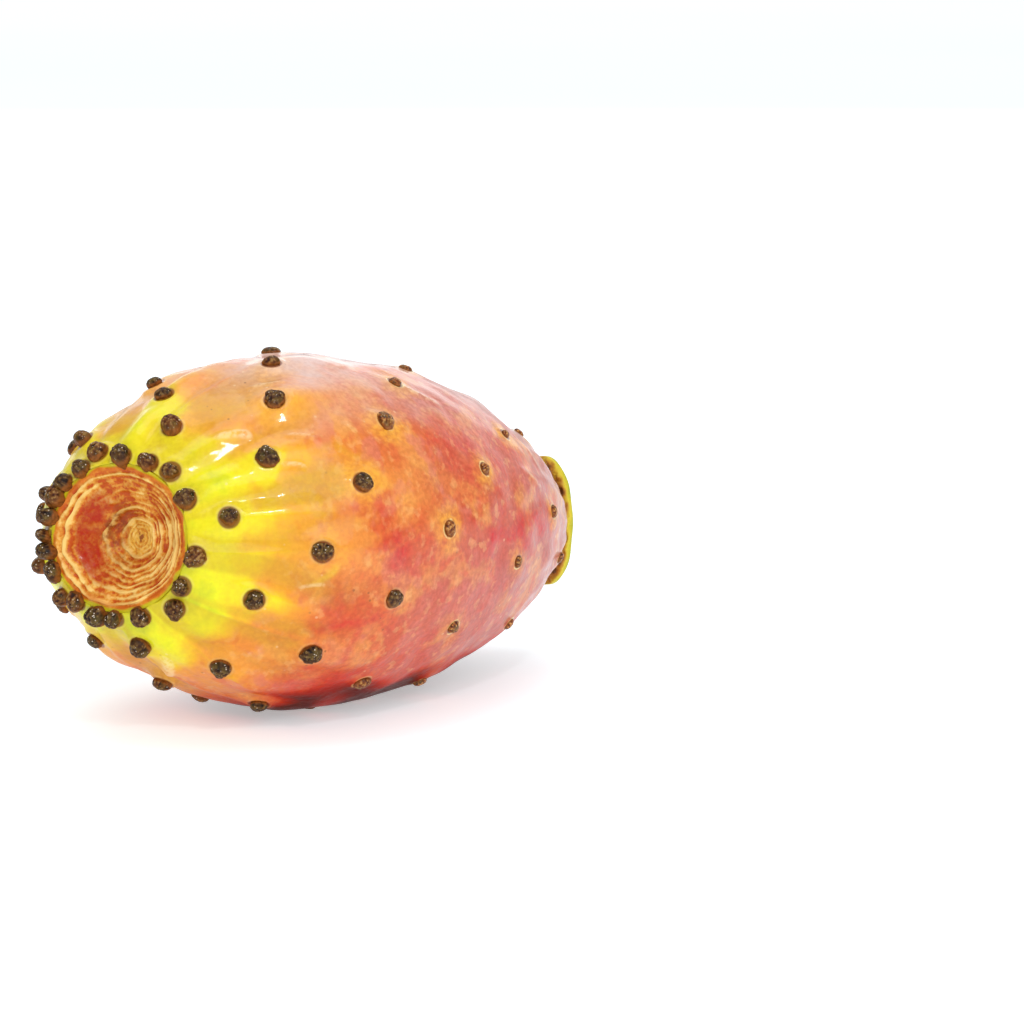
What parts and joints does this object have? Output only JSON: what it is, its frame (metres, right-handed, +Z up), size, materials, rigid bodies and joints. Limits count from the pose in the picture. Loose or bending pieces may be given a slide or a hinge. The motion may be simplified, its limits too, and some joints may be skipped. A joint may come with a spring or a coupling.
{
  "type": "prickly pear fruit",
  "caption": "Whole ripe prickly pear lying on its side, with a dished flower scar, corky areoles and a slice of pad at its stem end.",
  "frame": {"origin": "middle of the bounding box in plan, on the surface that the fruit lies on", "axes": "+Z up, +X along the fruit from the blossom end to the stem end, +Y towards its rear side"},
  "size_m": [0.0942, 0.0514, 0.0519],
  "materials": {
    "skin": "waxy satin, yellow-green at the blossom end through orange to coral red",
    "pad_heel": "satin yellow-green rind with a dry brown inner face"
  },
  "bodies": {
    "root": {"fruit": "skin", "pad_heel": "pad_heel"}
  },
  "joints": []
}
